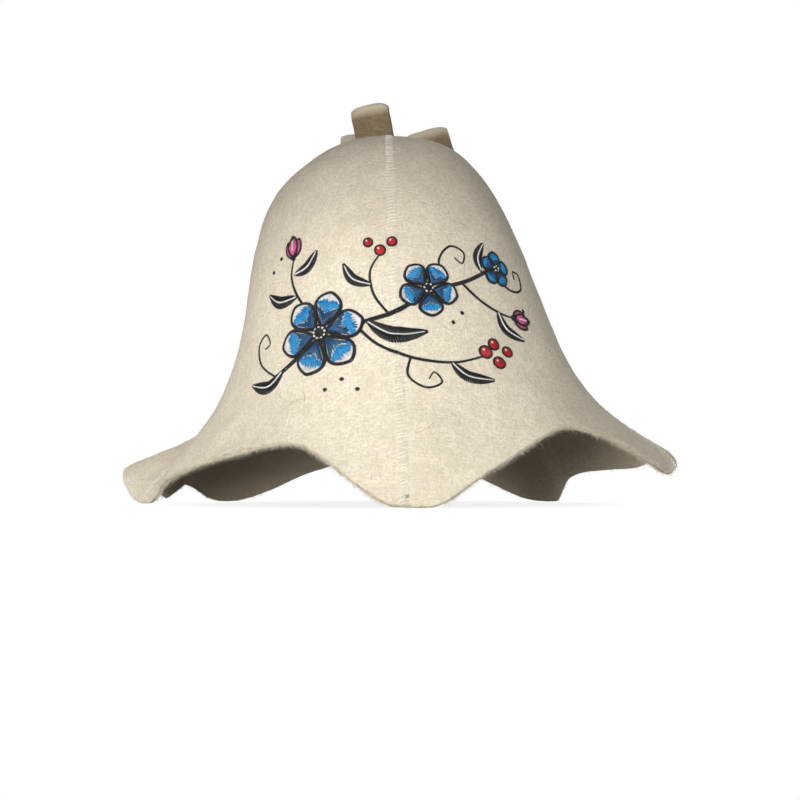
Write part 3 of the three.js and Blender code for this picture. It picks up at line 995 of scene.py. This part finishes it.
def hairs(name, roots, ways, lengths, finish, width=FUZZ_WIDTH):
    """Thin three-sided hairs that bend over from their roots, and up where they meet the surface."""
    count = len(roots)
    bend = seeds.normal(size=(count, 3)) * 0.55
    side = np.cross(ways, seeds.normal(size=(count, 3)))
    side /= np.linalg.norm(side, axis=1, keepdims=True)
    other = np.cross(ways, side)
    verts = []
    for share, wide in ((0.0, 1.0), (0.5, 0.8)):
        middle = roots + (ways * share + bend * share * share) * lengths[:, None]
        for k in range(3):
            turn = math.tau * k / 3
            verts.append(middle + (side * math.cos(turn) + other * math.sin(turn)) * width * wide)
    verts.append(roots + (ways + bend) * lengths[:, None])
    points = np.stack(verts, axis=1).reshape(-1, 3)
    points[:, 2] = np.abs(points[:, 2])
    faces = []
    for k in range(count):
        at = k * 7
        for i in range(3):
            j = (i + 1) % 3
            faces.append((at + i, at + j, at + 3 + j, at + 3 + i))
            faces.append((at + 3 + i, at + 3 + j, at + 6))
        faces.append((at + 2, at + 1, at))
    mesh = bpy.data.meshes.new(name)
    mesh.from_pydata(points.tolist(), [], faces)
    mesh.update()
    piece = bpy.data.objects.new(name, mesh)
    bpy.context.collection.objects.link(piece)
    select_only(piece)
    bpy.ops.object.mode_set(mode="EDIT")
    bpy.ops.mesh.select_all(action="SELECT")
    bpy.ops.mesh.normals_make_consistent(inside=False)
    bpy.ops.object.mode_set(mode="OBJECT")
    mesh.materials.append(finish)
    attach(piece, "root")
    return piece


def scattered(pieces, count):
    """Random places all over the pieces' faces, with the way that each face looks."""
    corners, looks, areas = [], [], []
    for piece in pieces:
        mesh = piece.data
        mesh.calc_loop_triangles()
        place = np.empty(len(mesh.vertices) * 3)
        mesh.vertices.foreach_get("co", place)
        place = place.reshape(-1, 3)
        index = np.empty(len(mesh.loop_triangles) * 3, dtype=np.int32)
        mesh.loop_triangles.foreach_get("vertices", index)
        triangle = place[index.reshape(-1, 3)]
        cross = np.cross(triangle[:, 1] - triangle[:, 0], triangle[:, 2] - triangle[:, 0])
        size = np.linalg.norm(cross, axis=1)
        kept = size > 1e-12
        corners.append(triangle[kept])
        looks.append(cross[kept] / size[kept, None])
        areas.append(size[kept])
    corners, looks, areas = np.concatenate(corners), np.concatenate(looks), np.concatenate(areas)
    chosen = seeds.choice(len(areas), size=count, p=areas / areas.sum())
    a, b = seeds.random(count), seeds.random(count)
    over = a + b > 1
    a[over], b[over] = 1 - a[over], 1 - b[over]
    first, second, third = corners[chosen].transpose(1, 0, 2)
    place = first + a[:, None] * (second - first) + b[:, None] * (third - first)
    return place, looks[chosen]


def unit(ways):
    return ways / np.linalg.norm(ways, axis=1, keepdims=True)


def hair_material(name, colour):
    made, tree, shader = material(name, 0.8, 0.2)
    place = node(tree, "ShaderNodeTexCoord").outputs["Object"]
    shade = node(tree, "ShaderNodeTexNoise", Vector=place, Scale=300.0, Detail=1.0)
    darker = tuple(k * 0.72 for k in colour[:3]) + (1,)
    mixed = mix_colour(tree, ramp(tree, shade.outputs[0], 0.35, 0.65), darker, colour)
    tree.links.new(mixed, shader.inputs["Base Color"])
    return made


wool_hair = hair_material("wool_hair", (0.84, 0.77, 0.63, 1))
roots, looks = scattered(gores, FUZZ_ON_FACE)
above = roots[:, 2] > 0.002
roots, looks = roots[above], looks[above]
ways = unit(looks + seeds.normal(size=looks.shape) * 0.75)
hairs("felt_fuzz", roots - looks * 0.0002, ways, seeds.uniform(0.0006, 0.0017, len(roots)), wool_hair)

# The loops' fuzz is darker too, as painted shade like the strip.
roots, looks = scattered(loops, 900)
ways = unit(looks + seeds.normal(size=looks.shape) * 0.75)
hairs("loop_fuzz", roots - looks * 0.0002, ways, seeds.uniform(0.0006, 0.0018, len(roots)),
      hair_material("strip_hair_painted_shade", (0.5, 0.43, 0.32, 1)))

roots, looks = [], []
for a, b, look in hem_edge:
    thick = FUZZ_ON_FRONT if a.y < -0.02 else FUZZ_ON_HEM
    for _ in range(int((b - a).length * 1000 * thick * 0.5 + seeds.random())):
        roots.append(a.lerp(b, seeds.random()) - look * 0.0009)
        looks.append(look)
roots, looks = np.array(roots), np.array(looks)
ways = unit(looks + seeds.normal(size=looks.shape) * 0.6)
ways[:, 2] = np.where(roots[:, 2] < 0.003, np.abs(ways[:, 2]) * 0.4 + 0.05, ways[:, 2])
hairs("hem_fuzz", roots, unit(ways), seeds.uniform(0.001, 0.0026, len(roots)), wool_hair, 0.00008)

# Stray hairs and thread ends on the felt: a few brown and reddish hairs that cling to it, and the
# seam thread's loose end below the front of the hem.
# Each hair is given by its middle in (u, z) millimetres, its length, the way it lies, and its bow.
STRAYS = (
    (-52, 58, 14, 0.5, 0.35),
    (-47, 62, 11, 1.9, -0.4),
    (-60, 63, 9, 2.6, 0.5),
    (44, 168, 17, -0.25, 0.2),
    (52, 172, 9, 0.9, -0.45),
    (36, 160, 7, 0.3, 0.5),
    (-14, 172, 8, 1.1, 0.3),
    (10, 44, 12, 0.7, -0.3),
    (70, 74, 13, 2.2, 0.3),
    (-76, 160, 8, 1.4, -0.3),
    (92, 120, 10, 1.0, 0.4),
    (-100, 100, 12, 0.2, 0.3),
)
brown = []
for u, z, length, turn, bow in STRAYS:
    strand = []
    for k in range(13):
        along = length * (k / 12 - 0.5)
        off = bow * length * (0.25 - (k / 12 - 0.5) ** 2) * 4 * 0.25
        at_u = u + math.cos(turn) * along - math.sin(turn) * off
        at_z = z + math.sin(turn) * along + math.cos(turn) * off
        lift = 0.0002 + 0.0005 * CHANCE.random() * (0 < k < 12)
        strand.append((on_hat(at_u, at_z, lift), 1 - 0.5 * abs(k / 6 - 1)))
    brown.append(strand)
lay_threads("stray_hairs", brown, 0.00008, hair_material("brown_hair", (0.16, 0.075, 0.04, 1)))

loose_end = []
start = on_hat(0.9, 6.5, 0.0004)
for drift in ((-0.0062, -0.006, -0.0052), (-0.0035, -0.0065, -0.0058)):
    strand = []
    for k in range(7):
        t = k / 6
        bow = Vector((0, -0.001, 0.0016)) * 4 * t * (1 - t)
        strand.append((start + Vector(drift) * t + bow, 1.3 - 0.4 * t))
    loose_end.append(strand)
lay_threads("loose_end", loose_end, SEAM_THREAD, seam_white)


# The room: a plain pale floor that runs out into a white backdrop, under soft lights. The main one
# is low in front and a little to the left, so the crown's top and right turn grey, and one stands
# behind for the back. The camera stands where the photographer did, but just over the floor.
# The floor is partly white all over, and wholly white past FLOOR_GONE from the hat's middle.
FLOOR_WHITE = 0.86
FLOOR_CLEAR = 0.1
FLOOR_GONE = 0.34
FLOOR_SINK = 0.0004
bpy.ops.mesh.primitive_plane_add(size=30, location=(0, 0, -FLOOR_SINK))
floor = bpy.context.object
floor.name = "floor"
pale, tree, shader = material("floor_pale", 0.9)
shader.inputs["Base Color"].default_value = (0.62, 0.62, 0.61, 1)
place = node(tree, "ShaderNodeTexCoord").outputs["Object"]
reach = node(tree, "ShaderNodeVectorMath", {"operation": "LENGTH"}, i0=place).outputs["Value"]
seen = node(tree, "ShaderNodeLightPath").outputs["Is Camera Ray"]
glow = node(tree, "ShaderNodeEmission", Color=(1, 1, 1, 1), Strength=1.0)
white = math_node(tree, "ADD", ramp(tree, reach, FLOOR_CLEAR, FLOOR_GONE), FLOOR_WHITE, True)
share = math_node(tree, "MULTIPLY", white, seen)
blend = node(tree, "ShaderNodeMixShader", i0=share)
tree.links.new(shader.outputs[0], blend.inputs[1])
tree.links.new(glow.outputs[0], blend.inputs[2])
tree.links.new(blend.outputs[0], tree.nodes["Material Output"].inputs["Surface"])
floor.data.materials.append(pale)

world = bpy.data.worlds.new("room")
bpy.context.scene.world = world
world.use_nodes = True
sky = world.node_tree
seen = sky.nodes["Background"]
seen.inputs["Color"].default_value = (1, 1, 1, 1)
seen.inputs["Strength"].default_value = 1.0
dim = node(sky, "ShaderNodeBackground", Color=(0.93, 0.96, 1, 1), Strength=0.1)
choice = node(sky, "ShaderNodeMixShader", i0=node(sky, "ShaderNodeLightPath").outputs["Is Camera Ray"])
sky.links.new(dim.outputs[0], choice.inputs[1])
sky.links.new(seen.outputs[0], choice.inputs[2])
sky.links.new(choice.outputs[0], sky.nodes["World Output"].inputs["Surface"])


def soft_light(name, place, aim, size, power, tint):
    bpy.ops.object.light_add(type="AREA", location=place)
    lamp = bpy.context.object
    lamp.name = name
    lamp.data.size = size
    lamp.data.energy = power
    lamp.data.color = tint
    lamp.visible_camera = False
    lamp.rotation_euler = (Vector(aim) - Vector(place)).to_track_quat("-Z", "Y").to_euler()


soft_light("key", (-0.3, -0.95, 0.05), (0, -0.05, 0.07), 0.3, 10.5, (1, 0.98, 0.95))
soft_light("fill", (0.75, -0.85, 0.25), (0.08, 0, 0.04), 0.5, 2.9, (1, 0.985, 0.97))
soft_light("card", (-0.36, -0.3, 0.02), (-0.19, 0, 0.03), 0.08, 0.36, (1, 0.985, 0.97))
soft_light("top", (-0.1, -0.5, 1.8), (0, 0, 0), 1.4, 2.8, (0.97, 0.98, 1))
soft_light("back", (0.1, 1.3, 1.1), (0, 0.1, 0.08), 0.6, 12, (1, 0.985, 0.97))

CAMERA_PLACE = (0.0033, -0.7565, 0.012)
CAMERA_PITCH = 4.338
bpy.ops.object.camera_add(location=CAMERA_PLACE, rotation=(math.radians(90 + CAMERA_PITCH), 0, 0))
camera = bpy.context.object
camera.data.lens = 50.625
camera.data.sensor_width = 36
camera.data.clip_start = 0.005
bpy.context.scene.camera = camera
bpy.context.scene.view_settings.view_transform = "Standard"
